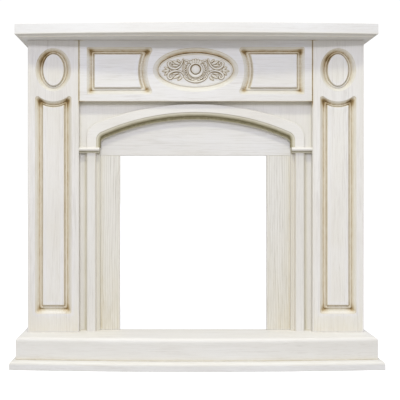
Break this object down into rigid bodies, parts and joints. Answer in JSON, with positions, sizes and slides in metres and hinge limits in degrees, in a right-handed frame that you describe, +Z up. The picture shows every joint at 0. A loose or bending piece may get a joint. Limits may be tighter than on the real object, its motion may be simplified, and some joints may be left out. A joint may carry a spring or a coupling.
{
  "type": "fireplace mantelpiece",
  "caption": "Free-standing wooden fireplace mantelpiece with bowed shelf and plinth, panelled pilasters, oval medallion frieze and an arched surround for a firebox insert.",
  "frame": {"origin": "on the floor, in the middle of the footprint", "axes": "+X to the viewer's right along the shelf, +Y from the front to the wall, +Z up"},
  "size_m": [1.15, 0.4, 1.072],
  "materials": {
    "cream_painted_oak": "satin cream paint rubbed over open oak pores, gold-brown patina in the mouldings",
    "surround_painted_oak": "satin off-white paint over a stronger oak grain",
    "carved_ornament": "cream paint with a heavy gold-brown patina in the hollows"
  },
  "bodies": {
    "root": {"hearth_board": "cream_painted_oak", "plinth_top": "cream_painted_oak", "plinth_apron": "cream_painted_oak", "plinth_end_left": "cream_painted_oak", "plinth_end_right": "cream_painted_oak", "pilaster_left": "cream_painted_oak", "pilaster_right": "cream_painted_oak", "side_cheek_left": "cream_painted_oak", "side_cheek_right": "cream_painted_oak", "frieze": "cream_painted_oak", "medallion_ornament": "carved_ornament", "portal_board": "cream_painted_oak", "archivolt": "cream_painted_oak", "leg_left": "cream_painted_oak", "leg_right": "cream_painted_oak", "capital_left": "cream_painted_oak", "capital_right": "cream_painted_oak", "surround_left": "surround_painted_oak", "surround_right": "surround_painted_oak", "surround_head": "surround_painted_oak", "mantel_shelf": "cream_painted_oak"}
  },
  "joints": []
}
